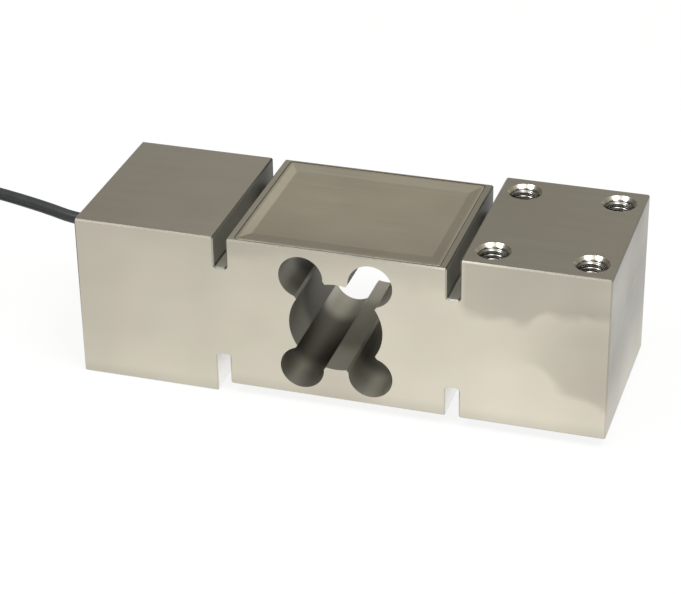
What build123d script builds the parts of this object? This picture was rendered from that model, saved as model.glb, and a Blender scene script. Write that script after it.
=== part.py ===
from build123d import *
import math
import os

# Single-point strain gauge load cell, milled from one bar of stainless steel.
# The left end block is fixed from below and the right end block carries the load from above.
# Four saw slots and a clover-shaped cavity leave four thin webs, two above and two below.
# A foil strain gauge is bonded over each web, in a shallow pocket under a pressed cover.
# Frame: origin at the middle of the base, +X towards the loaded end, +Y to the back, +Z up.

os.makedirs("parts", exist_ok=True)

# Bar
length = 150.0
width = 51.5
beam_height = 45.4
pad_height = 3.0
end_block_length = 40.45
slot_width = 3.7
slot_depth = 9.0
slot_corner_radius = 0.8
edge_break = 0.4

# Clover cavity, right through from front to back
bore_radius = 13.25
lobe_radius = 6.25
lobe_offset_x = 9.75
web_thickness = 1.0
neck_width = 9.9

# Tapped mounting holes, four in each end block
hole_spacing_x = 26.4
hole_spacing_y = 36.0
hole_radius = 4.0
hole_depth = 20.0
hole_drill_angle = 118.0
countersink_radius = 4.8

# Gauge pockets and covers, one above and one below the middle of the beam
pocket_end_rim = 1.95
pocket_side_rim = 1.0
pocket_corner_radius = 1.0
pocket_depth = 1.4
ledge_width = 0.7
sheet_thickness = 0.4
cover_recess = 0.05
cover_gap = 0.25
cover_flange = 0.5
cover_slope_end = 3.0
cover_slope_side = 4.6
cover_dish = 0.4

# Terminal wells and the wire passages that join them
well_length_x = 9.0
well_length_y = 30.0
well_depth = 4.4
well_corner_radius = 1.0
riser_offset_x = 23.0
riser_radius = 1.6
duct_radius = 2.0
duct_height = 33.8
entry_radius = 4.2
entry_depth = 10.0

# Foil strain gauges
gauge_length = 8.4
gauge_width = 6.2
gauge_thickness = 0.1
gauge_corner_radius = 0.4
foil_thickness = 0.03
grid_strands = 8
grid_strand_length = 4.6
grid_strand_width = 0.26
grid_pitch = 0.5
tab_length = 1.5
tab_width = 1.3

# Terminal boards with their solder posts and resistors
board_margin = 0.4
board_thickness = 0.8
board_hole_margin = 0.15
post_size = 1.0
post_height = 1.5
core_post_y = 3.0
link_post_x = 2.3
lead_post_x = 2.6
near_post_y = 6.0
far_post_y = 9.0
resistor_length = 3.2
resistor_width = 1.6
resistor_height = 0.6
resistor_place_y = 12.0

# Wires inside the beam
core_radius = 0.45
core_spread = 0.5
core_bend = 0.9
core_lift = 0.65
link_radius = 0.2
link_spread_x = 0.35
link_spread_y = 1.25
link_bend = 0.4
lead_radius = 0.125
lead_bend = 0.4
lead_turn = 2.0
lead_straight = 3.0
lead_slant = 1.5

# Cable entry
fit_gap = 0.05
bush_collar_radius = 5.2
bush_collar_length = 1.2
bush_length = 7.0
boot_root_radius = 3.6
boot_tip_radius = 2.5
boot_length = 6.3
boot_root_length = 1.6
boot_plug_radius = 3.0
boot_plug_length = 4.0
potting_length = 2.6
jacket_inside = 9.0

# Cable, whose route starts inside the boot, by its distance out from the end face, Y and Z
cable_radius = 1.8
free_route = [
    (3.0, 0.0, duct_height),
    (11.5, 0.0, duct_height),
    (22.0, 3.2, 34.1),
    (43.0, 9.3, 34.0),
    (72.0, 18.0, 32.0),
    (91.5, 11.0, 27.5),
    (103.5, -6.5, 20.5),
    (103.0, -27.5, 12.5),
    (90.5, -44.0, 5.6),
    (75.5, -48.3, 1.9),
    (63.5, -45.8, 1.85),
]
bend_share = 0.45

# Coil of the put-away length
coil_center_out = 71.0
coil_center_y = -16.0
coil_inner_radius = 12.5
coil_layers = 4
coil_columns = 4.45
coil_edge_radius = 1.5
tie_width = 3.0
tie_thickness = 0.6
tie_angle = 320.0
tie_clearance = 0.1
tie_head = 3.2

# Free end of the cable, which lies on the coil with its leads fanned out
tail_radius = 20.5
tail_start_angle = 20.0
tail_end_angle = 118.0
sleeve_radius = 2.3
sleeve_start_angle = 98.0
sleeve_end_angle = 128.0
end_core_radius = 0.5
drain_radius = 0.35
tip_radius = 0.32
tip_length = 5.0
end_lead_bend = 3.0
end_lead_gap = 0.75
end_lead_settle = 0.5
end_lead_steps = (9.0, 22.0, 52.0)
end_lead_fans = (1.15, 1.6, 2.3)
end_lead_starts = {
    "red": (-2, -1.3, -0.4), "black": (-1, -0.65, 0.75), "shield": (0, 0.0, -0.55),
    "green": (1, 0.65, 0.75), "white": (2, 1.3, -0.4),
}

# Worked out from the values above
half_length = length / 2
half_width = width / 2
beam_bottom = pad_height
beam_top = pad_height + beam_height
total_height = beam_height + 2 * pad_height
middle_z = total_height / 2
lobe_offset_z = beam_height / 2 - pocket_depth - web_thickness - lobe_radius
end_block_middle = half_length - end_block_length / 2
center_half = half_length - end_block_length - slot_width
pocket_length = 2 * (center_half - pocket_end_rim)
pocket_width = width - 2 * pocket_side_rim
pocket_floor = beam_top - pocket_depth
ledge_depth = cover_recess + sheet_thickness
well_floor = beam_top - well_depth
board_top = well_floor + board_thickness
board_length_x = well_length_x - 2 * board_margin
board_length_y = well_length_y - 2 * board_margin
post_top = board_top + post_height
gauge_top = pocket_floor + gauge_thickness
tab_top = gauge_top + foil_thickness
cable_diameter = 2 * cable_radius
route = [(-half_length - out, y, z) for out, y, z in free_route]
coil_center_x = -half_length - coil_center_out
coil_outer_radius = coil_inner_radius + cable_diameter * coil_columns
coil_bottom = tie_thickness
coil_top = coil_bottom + cable_diameter * coil_layers


def save(shape, name):
    """Write one sub-part, a solid or a list of separate like solids, to its own STEP file."""
    shape = Compound(children=list(shape)) if isinstance(shape, (list, tuple)) else shape
    shape.label = name
    export_step(shape, os.path.join("parts", name + ".step"))


def turned_over(shape):
    """The same piece on the underside of the beam: mirrored in the beam's middle plane."""
    return mirror(shape, about=Plane.XY.offset(middle_z))


def wire(points, radius, bend=0.0):
    """A round wire: one straight run, or several joined by equal bends."""
    path = FilletPolyline(*points, radius=bend) if len(points) > 2 else Line(*points)
    section = Plane(origin=path @ 0, z_dir=path % 0) * Circle(radius)
    return sweep(section, path=path)


def bent_tube(points, radius):
    """A tube of straight runs and tangent arcs, each arc as large as its two runs allow."""
    corners = [Vector(*point) for point in points]
    radii = []
    for before, corner, after in zip(corners, corners[1:], corners[2:]):
        turn = math.radians((corner - before).get_angle(after - corner))
        shorter = min((corner - before).length, (after - corner).length)
        radii.append(bend_share * shorter / math.tan(turn / 2))
    path = FilletPolyline(*corners, radius=radii)
    section = Plane(origin=path @ 0, z_dir=path % 0) * Circle(radius)
    tube = sweep(section, path=path)
    print("tube radii", [round(r, 1) for r in radii], "length", round(path.length, 1))
    print("tube volume", round(tube.volume, 1), "section by length",
          round(math.pi * radius**2 * path.length, 1))
    return tube


def flat_block(low, high):
    """A rectangular block between two opposite corners."""
    size = [b - a for a, b in zip(low, high)]
    return Pos(*low) * Box(*size, align=(Align.MIN, Align.MIN, Align.MIN))


def side_outline():
    """The beam's closed outline seen from the front, with its pads and four slots."""
    x1 = half_length
    x2 = half_length - end_block_length
    x3 = center_half
    top_slot = beam_top - slot_depth
    low_slot = beam_bottom + slot_depth
    points = [
        (-x1, 0), (-x2, 0), (-x2, low_slot), (-x3, low_slot), (-x3, beam_bottom),
        (x3, beam_bottom), (x3, low_slot), (x2, low_slot), (x2, beam_bottom), (x1, beam_bottom),
        (x1, total_height), (x2, total_height), (x2, top_slot), (x3, top_slot), (x3, beam_top),
        (-x3, beam_top), (-x3, top_slot), (-x2, top_slot), (-x2, beam_top), (-x1, beam_top),
    ]
    face = make_face(Polyline(*points, close=True))
    slot_corners = [
        v for v in face.vertices()
        if abs(v.Y - top_slot) < edge_break or abs(v.Y - low_slot) < edge_break
    ]
    return fillet(slot_corners, slot_corner_radius)


def clover():
    """The cavity's outline: a central bore, four lobes and the straight necks between them."""
    outline = Circle(bore_radius)
    reach = math.hypot(lobe_offset_x, lobe_offset_z)
    for side in (-1, 1):
        for rise in (-1, 1):
            angle = math.degrees(math.atan2(rise * lobe_offset_z, side * lobe_offset_x))
            outline += Pos(side * lobe_offset_x, rise * lobe_offset_z) * Circle(lobe_radius)
            outline += Rot(0, 0, angle) * Pos(reach / 2, 0) * Rectangle(reach, neck_width)
    return Pos(0, middle_z) * outline


def through_width(sketch):
    """Extrude a sketch drawn in X and Z over the whole width of the bar."""
    return extrude(Plane.XZ.offset(-half_width) * sketch, width)


def tapped_hole():
    """Cutting shape of one mounting hole, with its mouth at the origin and its depth along -Z."""
    tip = hole_radius / math.tan(math.radians(hole_drill_angle / 2))
    sink = countersink_radius - hole_radius
    outline = Polyline(
        (0, 0), (countersink_radius, 0), (hole_radius, -sink), (hole_radius, -hole_depth),
        (0, -hole_depth - tip), close=True,
    )
    return revolve(make_face(Plane.XZ * outline), Axis.Z)


def hole_places():
    """Centres of the four holes, measured from the middle of an end block."""
    return [
        (i * hole_spacing_x / 2, j * hole_spacing_y / 2) for i in (-1, 1) for j in (-1, 1)
    ]


def pocket_sketch(inset, corner):
    """The pocket's rounded outline, moved in by a distance all round."""
    return RectangleRounded(pocket_length - 2 * inset, pocket_width - 2 * inset, corner)


def top_pocket():
    """Cutting shape of the upper gauge pocket: cover ledge, gauge floor and terminal well."""
    ledge = Pos(0, 0, beam_top - ledge_depth) * pocket_sketch(0, pocket_corner_radius)
    floor = Pos(0, 0, pocket_floor) * pocket_sketch(ledge_width, pocket_corner_radius)
    well = Pos(-riser_offset_x, 0, well_floor) * RectangleRounded(
        well_length_x, well_length_y, well_corner_radius
    )
    return extrude(ledge, pocket_depth) + extrude(floor, pocket_depth) + extrude(well, well_depth)


def bar():
    """The bar with its outline milled, its outer edges broken and its pads proud."""
    solid = through_width(side_outline())
    rounded = slot_corner_radius + edge_break
    top_slot = beam_top - slot_depth
    low_slot = beam_bottom + slot_depth
    outer = [
        edge for edge in solid.edges()
        if edge.geom_type == GeomType.LINE
        and not (abs(edge.tangent_at(0).Y) > 0.5
                 and low_slot - rounded < edge.center().Z < top_slot + rounded)
    ]
    return chamfer(outer, edge_break)


def beam_body():
    """The one-piece steel beam with its cavity, holes, gauge pockets and wire passages."""
    body = bar() - through_width(clover())
    for x, y in hole_places():
        body -= Pos(end_block_middle + x, y, total_height) * tapped_hole()
        body -= Pos(-end_block_middle + x, y, 0) * Rot(180, 0, 0) * tapped_hole()
    body -= top_pocket()
    body -= turned_over(top_pocket())
    body -= Pos(-riser_offset_x, 0, middle_z) * Cylinder(riser_radius, 2 * (well_floor - middle_z))
    duct_length = half_length - riser_offset_x + duct_radius
    body -= Pos(-half_length, 0, duct_height) * Rot(0, 90, 0) * Cylinder(
        duct_radius, duct_length, align=(Align.CENTER, Align.CENTER, Align.MIN)
    )
    body -= Pos(-half_length, 0, duct_height) * Rot(0, 90, 0) * Cylinder(
        entry_radius, entry_depth, align=(Align.CENTER, Align.CENTER, Align.MIN)
    )
    return body


def top_cover():
    """The pressed sheet cover: a flat flange on the pocket's ledge round a shallow dish."""
    top = beam_top - cover_recess
    plate = pocket_sketch(cover_gap, pocket_corner_radius - cover_gap)
    flange = extrude(Pos(0, 0, top - sheet_thickness) * plate, sheet_thickness)
    inset = cover_gap + cover_flange
    corner = pocket_corner_radius + ledge_width - inset
    mouth = pocket_sketch(inset, corner)
    floor = RectangleRounded(
        pocket_length - 2 * (inset + cover_slope_end),
        pocket_width - 2 * (inset + cover_slope_side), corner,
    )
    dish = loft([Pos(0, 0, top) * mouth, Pos(0, 0, top - cover_dish) * floor], ruled=True)
    return flange + Pos(0, 0, -sheet_thickness) * dish - dish


def gauge_grid():
    """The foil of one gauge: strands along X joined end to end, with two solder tabs."""
    foil = Sketch()
    first = -grid_pitch * (grid_strands - 1) / 2
    for i in range(grid_strands):
        y = first + i * grid_pitch
        foil += Pos(0, y) * Rectangle(grid_strand_length, grid_strand_width)
        if i < grid_strands - 1:
            side = 1 if i % 2 == 0 else -1
            x = side * (grid_strand_length - grid_strand_width) / 2
            foil += Pos(x, y + grid_pitch / 2) * Rectangle(grid_strand_width, grid_pitch)
    for side in (-1, 1):
        foil += Pos(-(grid_strand_length + tab_length) / 2 + grid_strand_width / 2,
                    side * (abs(first) - tab_width / 2 + grid_strand_width / 2)) * Rectangle(
            tab_length, tab_width
        )
    return foil


def top_gauge(x):
    """One foil strain gauge bonded to the upper pocket floor over the web at x."""
    carrier = extrude(
        Pos(x, 0, pocket_floor) * RectangleRounded(gauge_length, gauge_width, gauge_corner_radius),
        gauge_thickness,
    )
    return carrier + extrude(Pos(x, 0, gauge_top) * gauge_grid(), foil_thickness)


def terminal_board():
    """The small circuit board in the upper terminal well, with a hole for the wires."""
    outline = RectangleRounded(board_length_x, board_length_y, well_corner_radius - board_margin)
    outline -= Circle(riser_radius + board_hole_margin)
    return extrude(Pos(-riser_offset_x, 0, well_floor) * outline, board_thickness)


def post(x, y):
    """One solder post, centred at x and y from the riser's axis."""
    half = post_size / 2
    return flat_block(
        (x - riser_offset_x - half, y - half, board_top),
        (x - riser_offset_x + half, y + half, post_top),
    )


def link_posts():
    """Posts of the four wires that run between the two boards."""
    x = link_post_x + post_size / 2
    return [post(i * x, j * link_spread_y) for i in (-1, 1) for j in (-1, 1)]


def lead_posts():
    """Posts of the fine leads from the two gauges on this side."""
    return [post(lead_post_x, j * y) for y in (near_post_y, far_post_y) for j in (-1, 1)]


def core_posts():
    """Posts of the cable's four cores."""
    y = core_post_y + post_size / 2
    return [post(i * (core_spread + fit_gap), j * y) for i in (-1, 1) for j in (-1, 1)]


def resistor(side):
    """One chip resistor lying across the upper board near its end."""
    return Pos(-riser_offset_x, side * resistor_place_y, board_top) * Box(
        resistor_width, resistor_length, resistor_height,
        align=(Align.CENTER, Align.CENTER, Align.MIN),
    )


def gauge_leads():
    """Four fine leads from the upper gauges' solder tabs to their posts."""
    z = tab_top + lead_radius
    tab_x = -(grid_strand_length + tab_length) / 2
    tab_y = grid_pitch * (grid_strands - 1) / 2 - tab_width / 2
    post_x = lead_post_x - riser_offset_x
    turn_x = well_length_x / 2 - riser_offset_x + lead_turn
    beside_y = gauge_width / 2 + lead_turn
    right_x = tab_x + lobe_offset_x
    leads = []
    for side in (-1, 1):
        near = [
            (tab_x - lobe_offset_x, side * tab_y, z),
            (turn_x, side * tab_y, z),
            (turn_x - post_size, side * near_post_y, z),
            (post_x, side * near_post_y, z),
            (post_x, side * near_post_y, post_top),
        ]
        far = [
            (right_x, side * tab_y, z),
            (right_x - lead_straight, side * tab_y, z),
            (right_x - lead_straight - lead_slant, side * beside_y, z),
            (turn_x + post_size, side * beside_y, z),
            (turn_x, side * far_post_y, z),
            (post_x, side * far_post_y, z),
            (post_x, side * far_post_y, post_top),
        ]
        leads += [wire(near, lead_radius, lead_bend), wire(far, lead_radius, lead_bend)]
    return leads


def bridge_wires():
    """Four thin wires through the beam that join the upper and lower boards."""
    upper = board_top + link_radius
    lower = total_height - upper
    wires = []
    for i in (-1, 1):
        for j in (-1, 1):
            x = i * link_spread_x - riser_offset_x
            end = i * link_post_x - riser_offset_x
            y = j * link_spread_y
            points = [(end, y, lower), (x, y, lower), (x, y, upper), (end, y, upper)]
            wires.append(wire(points, link_radius, link_bend))
    return wires


def cable_core(i, j):
    """One insulated core, from the end of the jacket to its post on the upper board."""
    x = i * (core_spread + fit_gap) - riser_offset_x
    y = j * (core_spread + fit_gap)
    z = board_top + core_lift + core_radius
    start = -half_length + jacket_inside
    run_z = duct_height - i * (core_spread + fit_gap)
    points = [(start, y, run_z), (x, y, run_z), (x, y, z), (x, j * core_post_y, z)]
    return wire(points, core_radius, core_bend)


def revolved_entry(points):
    """Turn a profile of distance from the end face and radius about the entry's axis."""
    profile = [(-half_length - out, duct_height + r) for out, r in points]
    axis = Axis((0, 0, duct_height), (1, 0, 0))
    return revolve(make_face(Plane.XZ * Polyline(*profile, close=True)), axis)


def cable_bush():
    """The turned steel bush pressed into the end face, with a collar outside."""
    bore = boot_plug_radius + fit_gap
    hole = cable_radius + fit_gap
    return revolved_entry([
        (-bush_length, hole), (-bush_length, entry_radius - fit_gap),
        (0, entry_radius - fit_gap), (0, bush_collar_radius),
        (bush_collar_length, bush_collar_radius), (bush_collar_length, bore),
        (bush_collar_length - boot_plug_length, bore), (bush_collar_length - boot_plug_length, hole),
    ])


def cable_boot():
    """The tapered rubber strain relief, plugged into the bush."""
    hole = cable_radius + fit_gap
    face = bush_collar_length
    return revolved_entry([
        (face - boot_plug_length, hole), (face - boot_plug_length, boot_plug_radius),
        (face, boot_plug_radius), (face, boot_root_radius),
        (face + boot_root_length, boot_root_radius), (face + boot_length, boot_tip_radius),
        (face + boot_length, hole),
    ])


def entry_potting(cores):
    """The resin that seals the entry round the cable's cores, between the bush and the duct."""
    inner = -entry_depth
    outer = -entry_depth + potting_length
    plug = revolved_entry([
        (inner, 0), (inner, entry_radius - fit_gap), (outer, entry_radius - fit_gap), (outer, 0)
    ])
    for core in cores:
        plug -= core
    return plug - cable_start()


def cable_start():
    """The straight stretch of jacket inside the entry, up to where the route starts."""
    start = -half_length + jacket_inside
    return Pos(start, 0, duct_height) * Rot(0, -90, 0) * Cylinder(
        cable_radius, start - route[0][0], align=(Align.CENTER, Align.CENTER, Align.MIN)
    )


def signal_cable():
    """The cable from the end of its jacket in the entry to where it joins the coil."""
    return cable_start() + bent_tube(route, cable_radius)


def cable_coil():
    """The outer shape of the coil's turns, one ring with rounded edges."""
    section = RectangleRounded(
        coil_outer_radius - coil_inner_radius, coil_top - coil_bottom, coil_edge_radius
    )
    middle = (coil_outer_radius + coil_inner_radius) / 2
    ring = revolve(Plane.XZ * Pos(middle, (coil_top + coil_bottom) / 2) * section, Axis.Z)
    return Pos(coil_center_x, coil_center_y, 0) * ring


def around_coil(shape, angle):
    """Carry a piece drawn at the coil's +X side round the coil by an angle."""
    return Pos(coil_center_x, coil_center_y, 0) * Rot(0, 0, angle) * shape


def coil_tie():
    """The band tied round the coil's turns, with its lock on top."""
    inner = coil_inner_radius - tie_clearance
    outer = coil_outer_radius + tie_clearance
    top = coil_top + tie_clearance
    band = flat_block(
        (inner - tie_thickness, -tie_width / 2, 0),
        (outer + tie_thickness, tie_width / 2, top + tie_thickness),
    )
    band -= flat_block((inner, -tie_width, coil_bottom), (outer, tie_width, top))
    lock_x = outer - tie_head
    lock = flat_block(
        (lock_x, -tie_width / 2 - tie_thickness, top),
        (lock_x + tie_head, tie_width / 2 + tie_thickness, top + 2 * tie_thickness + tie_clearance),
    )
    return around_coil(band + lock, tie_angle)


def arc_on_coil(start, end, radius):
    """A round bar that follows the cable's tail over the coil, from one angle to another."""
    center = (coil_center_x, coil_center_y, coil_top + sleeve_radius)
    path = Plane(origin=center) * CenterArc((0, 0), tail_radius, start, end - start)
    return sweep(Plane(origin=path @ 0, z_dir=path % 0) * Circle(radius), path=path)


def cable_tail():
    """The last stretch of the cable's jacket, lying on the coil."""
    return arc_on_coil(tail_start_angle, tail_end_angle, cable_radius)


def end_sleeve():
    """The shrunk sleeve over the end of the jacket, from which the leads come out."""
    return arc_on_coil(sleeve_start_angle, sleeve_end_angle, sleeve_radius) - cable_tail()


def on_coil(angle, radius, height):
    """A point over the coil, by its angle and radius about the coil's axis and its height."""
    turn = math.radians(angle)
    return Vector(
        coil_center_x + radius * math.cos(turn), coil_center_y + radius * math.sin(turn),
        coil_top + height,
    )


def end_lead_route(name):
    """Corner points of one lead: out of the sleeve, down to the coil and fanned out along it."""
    place, out, up = end_lead_starts[name]
    radius = drain_radius if name == "shield" else end_core_radius
    heights = (sleeve_radius + up * end_lead_settle, radius, radius)
    first = sleeve_end_angle + end_lead_gap
    points = [on_coil(first, tail_radius + out, sleeve_radius + up)]
    for step, fan, height in zip(end_lead_steps, end_lead_fans, heights):
        points.append(on_coil(sleeve_end_angle + step, tail_radius + place * fan, height))
    return points


def end_lead(name):
    """One bared lead at the cable's free end."""
    radius = drain_radius if name == "shield" else end_core_radius
    return wire(end_lead_route(name), radius, end_lead_bend)


def lead_tip(name):
    """The tinned strands that stand out of one lead's insulation."""
    before, end = end_lead_route(name)[-2:]
    return wire([end, end + (end - before).normalized() * tip_length], tip_radius)


save(beam_body(), "beam_body")
save(top_cover(), "top_cover")
save(turned_over(top_cover()), "bottom_cover")
for end, x in {"left": -lobe_offset_x, "right": lobe_offset_x}.items():
    save(top_gauge(x), "strain_gauge_top_" + end)
    save(turned_over(top_gauge(x)), "strain_gauge_bottom_" + end)
save(terminal_board(), "terminal_board_top")
save(turned_over(terminal_board()), "terminal_board_bottom")
save(core_posts() + link_posts() + lead_posts(), "solder_posts_top")
save([turned_over(piece) for piece in link_posts() + lead_posts()], "solder_posts_bottom")
save(resistor(1), "span_resistor")
save(resistor(-1), "zero_balance_resistor")
save(gauge_leads(), "gauge_leads_top")
save([turned_over(piece) for piece in gauge_leads()], "gauge_leads_bottom")
save(bridge_wires(), "bridge_wires")

cores = {
    "red": cable_core(-1, -1), "black": cable_core(-1, 1),
    "green": cable_core(1, -1), "white": cable_core(1, 1),
}
for color, core in cores.items():
    save(core, "cable_core_" + color)
save(cable_bush(), "cable_bush")
save(cable_boot(), "cable_boot")
save(entry_potting(cores.values()), "entry_potting")
save(signal_cable(), "signal_cable")
save(cable_coil(), "cable_coil")
save(coil_tie(), "coil_tie")
save(cable_tail(), "cable_tail")
save(end_sleeve(), "end_sleeve")
for name in end_lead_starts:
    save(end_lead(name), "end_lead_" + name)
save([lead_tip(color) for color in cores], "end_lead_tips")
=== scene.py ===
import math

import bmesh
import bpy
import numpy as np
from mathutils import Matrix, Vector


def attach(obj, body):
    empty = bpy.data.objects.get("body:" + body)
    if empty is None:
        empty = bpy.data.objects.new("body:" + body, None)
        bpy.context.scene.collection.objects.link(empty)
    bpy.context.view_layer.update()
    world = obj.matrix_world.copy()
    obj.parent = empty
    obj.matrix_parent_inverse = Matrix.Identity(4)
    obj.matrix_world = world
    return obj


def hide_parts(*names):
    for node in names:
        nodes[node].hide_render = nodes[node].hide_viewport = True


# Strain gauge load cell: a steel beam with covered gauge pockets and a coiled signal cable.
# Metres throughout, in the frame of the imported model: +X to the loaded end, +Z up.

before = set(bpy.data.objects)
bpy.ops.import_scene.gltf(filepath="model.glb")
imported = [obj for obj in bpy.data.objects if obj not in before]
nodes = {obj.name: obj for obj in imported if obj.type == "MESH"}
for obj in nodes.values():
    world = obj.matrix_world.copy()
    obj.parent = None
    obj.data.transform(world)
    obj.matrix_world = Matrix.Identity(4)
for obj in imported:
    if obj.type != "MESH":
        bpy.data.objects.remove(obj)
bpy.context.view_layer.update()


# The beam: one bar of stainless steel, milled to shape, slotted with a saw and bored through.
# Its flat faces are ground along the bar, the cavity is bored, and the screw holes are turned.

hole_center_x = 0.054775
hole_offset_x = 0.0132
hole_offset_y = 0.018
beam_middle_z = 0.0257
sink_radius = 0.0048
slot_middle_x = 0.0327
slot_reach = 0.0020
slot_start_z = 0.0125
cavity_reach_x = 0.0165
cavity_reach_z = 0.0206
pad_height = 0.003


class Finish:
    """A procedural finish: one Principled shader, its plain sockets, and the nodes that feed it."""

    def __init__(self, name, **plain):
        self.material = bpy.data.materials.new(name)
        self.material.use_nodes = True
        self.tree = self.material.node_tree
        self.shader = self.tree.nodes["Principled BSDF"]
        for socket, value in plain.items():
            self.shader.inputs[socket.replace("_", " ")].default_value = value
        coordinates = self.tree.nodes.new("ShaderNodeTexCoord")
        self.place = coordinates.outputs["Object"]
        self.normal = coordinates.outputs["Normal"]

    def add(self, kind, inputs, output=0, **settings):
        """One node with its settings and its inputs, each a number or another node's socket."""
        node = self.tree.nodes.new("ShaderNode" + kind)
        for key, value in settings.items():
            setattr(node, key, value)
        for key, value in inputs.items():
            if isinstance(value, bpy.types.NodeSocket):
                self.tree.links.new(value, node.inputs[key])
            else:
                node.inputs[key].default_value = value
        return node.outputs[output]

    def maths(self, operation, a, b=0.0, c=0.0):
        """The outcome of one sum on up to three numbers or sockets."""
        return self.add("Math", {0: a, 1: b, 2: c}, operation=operation)

    def split(self, vector):
        """The three components of a vector socket."""
        node = self.tree.nodes.new("ShaderNodeSeparateXYZ")
        self.tree.links.new(vector, node.inputs[0])
        return list(node.outputs)

    def noise(self, scale, stretch=(1.0, 1.0, 1.0), shift=(0.0, 0.0, 0.0), detail=2.0):
        """Smooth noise from 0 to 1, drawn out along the axes whose stretch is small."""
        where = self.add("Mapping", {"Vector": self.place, "Location": shift, "Scale": stretch})
        return self.add("TexNoise", {"Vector": where, "Scale": scale, "Detail": detail})

    def squares(self, *sums):
        """The root of the added squares of some numbers or sockets."""
        total = 0.0
        for value in sums:
            total = self.maths("MULTIPLY_ADD", value, value, total)
        return self.maths("SQRT", total)

    def both(self, *masks):
        """The masks or factors multiplied together."""
        total = masks[0]
        for mask in masks[1:]:
            total = self.maths("MULTIPLY", total, mask)
        return total

    def outside(self, mask):
        """The mask turned round: one where it is nought."""
        return self.maths("SUBTRACT", 1.0, mask)

    def mix(self, mask, outer, inner):
        """One number or socket outside a mask and another inside it."""
        return self.add("Mix", {0: mask, 2: outer, 3: inner})

    def ramp(self, value, start, end, low=0.0, high=1.0):
        """A value carried smoothly from one range to another and held at its ends."""
        return self.add(
            "MapRange", {0: value, 1: start, 2: end, 3: low, 4: high},
            interpolation_type="SMOOTHSTEP",
        )

    def tones(self, factor, first, second):
        """A colour between two colours or colour sockets."""
        pair = [c if isinstance(c, bpy.types.NodeSocket) else (*c, 1.0) for c in (first, second)]
        return self.add("Mix", {0: factor, 6: pair[0], 7: pair[1]}, 2, data_type="RGBA")

    def scaled(self, color, amount):
        """A colour made brighter or darker by an amount."""
        return self.add("VectorMath", {0: color, "Scale": amount}, operation="SCALE")

    def bump(self, height, depth, strength=1.0, after=None):
        """The surface normal tilted as if the height, from 0 to 1, were that many metres deep."""
        inputs = {"Height": height, "Distance": depth, "Strength": strength}
        if after is not None:
            inputs["Normal"] = after
        return self.add("Bump", inputs)

    def wire(self, **sources):
        """Join sockets to the shader's own inputs."""
        for socket, source in sources.items():
            self.tree.links.new(source, self.shader.inputs[socket.replace("_", " ")])

    def mottle(self, pattern, colors, roughness, depth=0.0, relief=None):
        """Colour and roughness between two values by a pattern, and relief by it or by another."""
        self.wire(
            Base_Color=self.tones(pattern, *colors),
            Roughness=self.ramp(pattern, 0.3, 0.7, *roughness),
        )
        if depth:
            self.wire(Normal=self.bump(pattern if relief is None else relief, depth))

    def put_on(self, *pieces):
        """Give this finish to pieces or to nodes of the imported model."""
        for piece in pieces:
            piece.data.materials.clear()
            piece.data.materials.append(self.material)


def ground_steel(name, front, top, end):
    """Satin steel whose colour depends on which way a face looks, as painted reflection, with fine
    lines along the bar.
    """
    finish = Finish(name, Metallic=1.0)
    faces_end, finish.faces_side, finish.faces_up = [
        finish.ramp(finish.maths("ABSOLUTE", part), 0.5, 0.9) for part in finish.split(finish.normal)
    ]
    color = finish.tones(finish.faces_side, end, front)
    finish.color = finish.tones(finish.faces_up, color, top)
    lines = finish.noise(1.0, (40.0, 2600.0, 2600.0), detail=3.0)
    cross = finish.noise(1.0, (2600.0, 60.0, 1900.0), detail=3.0)
    finish.grain = finish.mix(faces_end, lines, cross)
    finish.clouds = finish.noise(38.0, shift=(0.31, 0.12, 0.07), detail=1.5)
    return finish


# The front, top and end colours are painted reflection: each way a face looks shows its own share of
# the room.
steel = ground_steel(
    "milled_beam_steel",
    front=(0.78, 0.735, 0.62), top=(0.695, 0.672, 0.602), end=(0.73, 0.70, 0.60),
)
x, y, z = steel.split(steel.place)
nx, ny, nz = steel.split(steel.normal)
up = steel.maths("SUBTRACT", z, beam_middle_z)
out_x, out_y, out_z = [steel.maths("ABSOLUTE", value) for value in (x, y, up)]

# Screw holes: four go down into the loaded end and four go up into the fixed end
sink_margin = 0.00001
from_row = steel.maths("ABSOLUTE", steel.maths("SUBTRACT", out_x, hole_center_x))
from_hole = steel.squares(
    steel.maths("SUBTRACT", from_row, hole_offset_x),
    steel.maths("SUBTRACT", out_y, hole_offset_y),
)
turned = steel.both(
    steel.maths("LESS_THAN", from_hole, sink_radius + sink_margin),
    steel.maths("GREATER_THAN", steel.maths("MULTIPLY", x, up), 0.0),
)
# Painted shade: the turned faces are darker where they look towards +X.
turned_painted_shade = steel.ramp(nx, -0.45, 0.45, 1.0, 0.55)

# Cavity walls: bored steel with rings from the boring tool. Painted shade darkens them away from both
# openings, most away from the middle of the bore, and painted light brightens the walls to the right
bored_color = (0.70, 0.69, 0.62)
not_side = steel.outside(steel.faces_side)
bored = steel.both(
    steel.maths("LESS_THAN", out_x, cavity_reach_x),
    steel.maths("LESS_THAN", out_z, cavity_reach_z), not_side,
)
bore_marks = steel.noise(1.0, (60.0, 2400.0, 60.0))
inmost_painted_shade = steel.ramp(out_x, 0.0034, 0.0042, 0.40, 0.25)
bored_painted_shade = steel.ramp(out_y, 0.0100, 0.0165, inmost_painted_shade, 0.62)
right_wall_painted_light = steel.ramp(x, -0.006, 0.004, 1.0, 1.4)

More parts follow.
